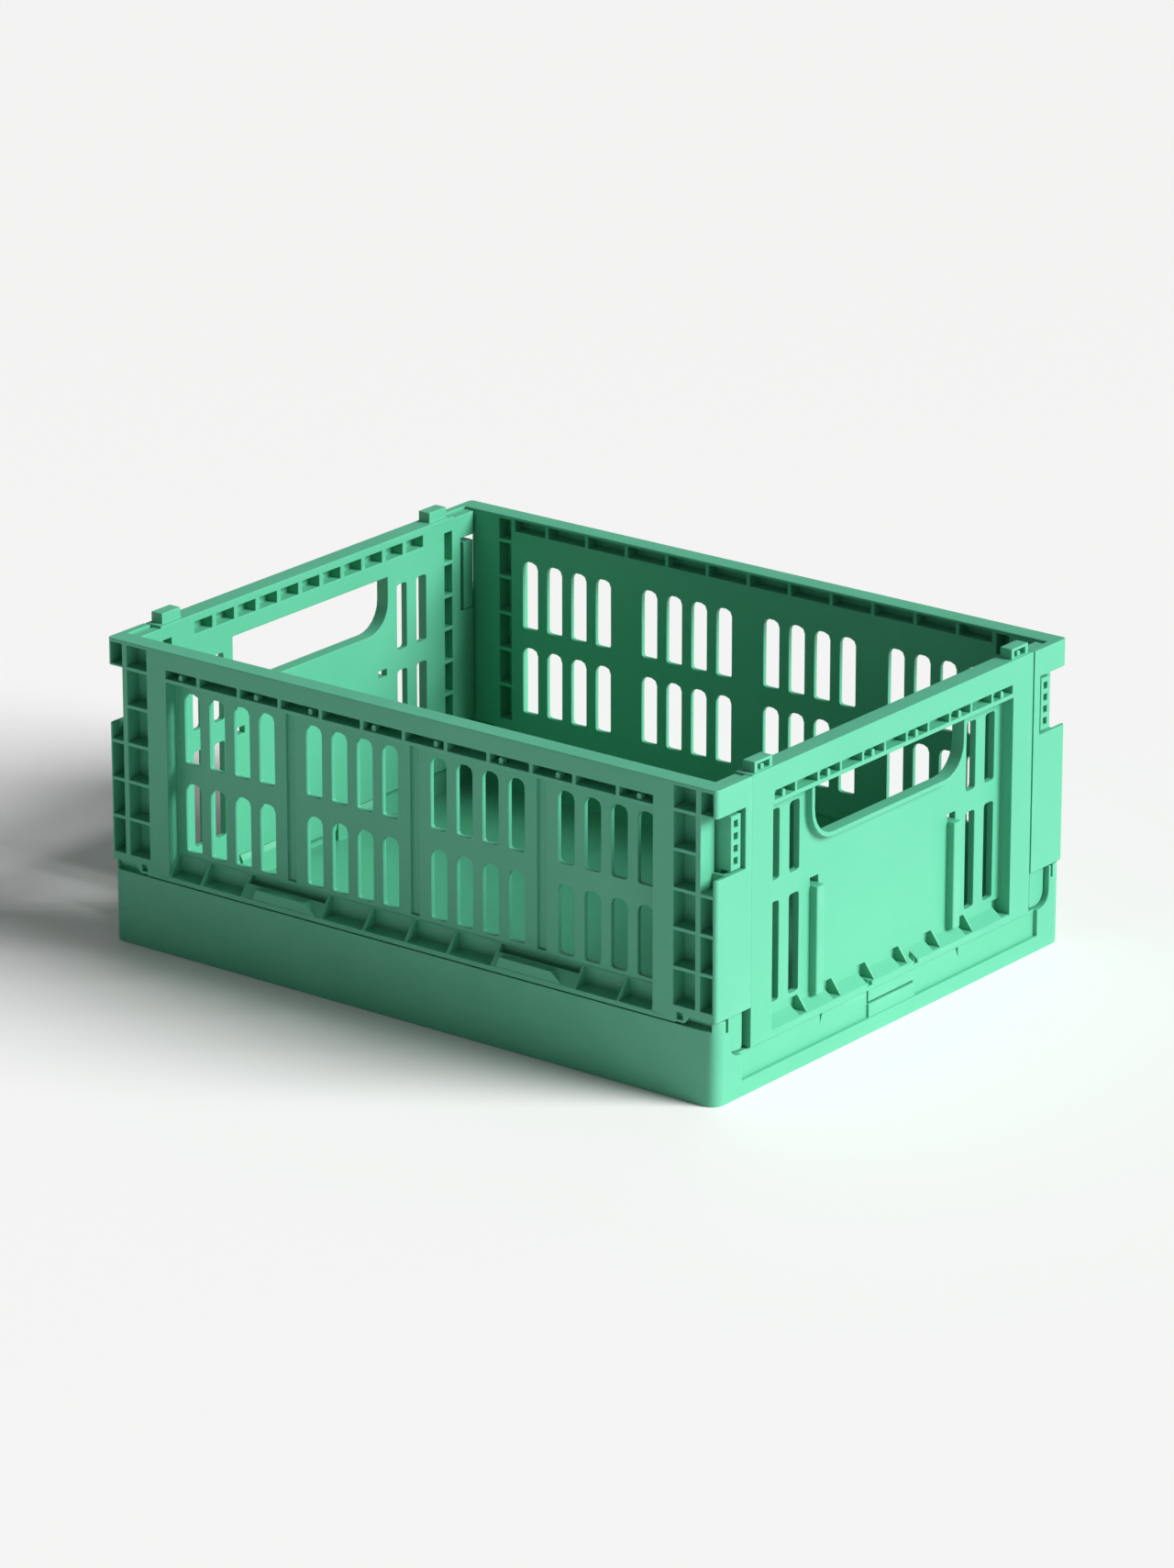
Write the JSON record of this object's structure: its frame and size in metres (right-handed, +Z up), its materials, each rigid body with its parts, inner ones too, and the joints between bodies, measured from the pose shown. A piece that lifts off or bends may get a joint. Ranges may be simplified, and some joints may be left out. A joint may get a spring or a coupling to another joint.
{
  "type": "collapsible storage crate",
  "caption": "Rectangular folding storage crate with a tray base, slotted walls, hand grips in hinged end walls that fold onto the floor, and press-in corner latches.",
  "frame": {"origin": "centre of the crate's footprint, on the surface it stands on", "axes": "+X along the length towards the right end wall, +Y across to the rear long wall, +Z up"},
  "size_m": [0.345, 0.265, 0.151],
  "materials": {
    "crate_plastic": "satin moulded polypropylene"
  },
  "bodies": {
    "crate_body": {"base_tray": "crate_plastic", "front_long_wall": "crate_plastic", "rear_long_wall": "crate_plastic"},
    "left_end": {"left_end_wall": "crate_plastic"},
    "right_end": {"right_end_wall": "crate_plastic"},
    "left_front_tongue": {"left_front_latch": "crate_plastic"},
    "left_rear_tongue": {"left_rear_latch": "crate_plastic"},
    "right_front_tongue": {"right_front_latch": "crate_plastic"},
    "right_rear_tongue": {"right_rear_latch": "crate_plastic"}
  },
  "joints": [
    {"name": "left_end_fold", "type": "hinge", "parent": "crate_body", "child": "left_end", "pos_m": [-0.166, 0, 0.014], "axis": [0, 1, 0], "range_deg": [0, 90]},
    {"name": "right_end_fold", "type": "hinge", "parent": "crate_body", "child": "right_end", "pos_m": [0.166, 0, 0.014], "axis": [0, -1, 0], "range_deg": [0, 90]},
    {"name": "left_front_press", "type": "hinge", "parent": "left_end", "child": "left_front_tongue", "pos_m": [-0.166, -0.1174, 0.098], "axis": [-1, 0, 0], "range_deg": [0, 3], "stiffness_Nm_per_rad": 2.4},
    {"name": "left_rear_press", "type": "hinge", "parent": "left_end", "child": "left_rear_tongue", "pos_m": [-0.166, 0.1174, 0.098], "axis": [1, 0, 0], "range_deg": [0, 3], "stiffness_Nm_per_rad": 2.4},
    {"name": "right_front_press", "type": "hinge", "parent": "right_end", "child": "right_front_tongue", "pos_m": [0.166, -0.1174, 0.098], "axis": [-1, 0, 0], "range_deg": [0, 3], "stiffness_Nm_per_rad": 2.4},
    {"name": "right_rear_press", "type": "hinge", "parent": "right_end", "child": "right_rear_tongue", "pos_m": [0.166, 0.1174, 0.098], "axis": [1, 0, 0], "range_deg": [0, 3], "stiffness_Nm_per_rad": 2.4}
  ]
}
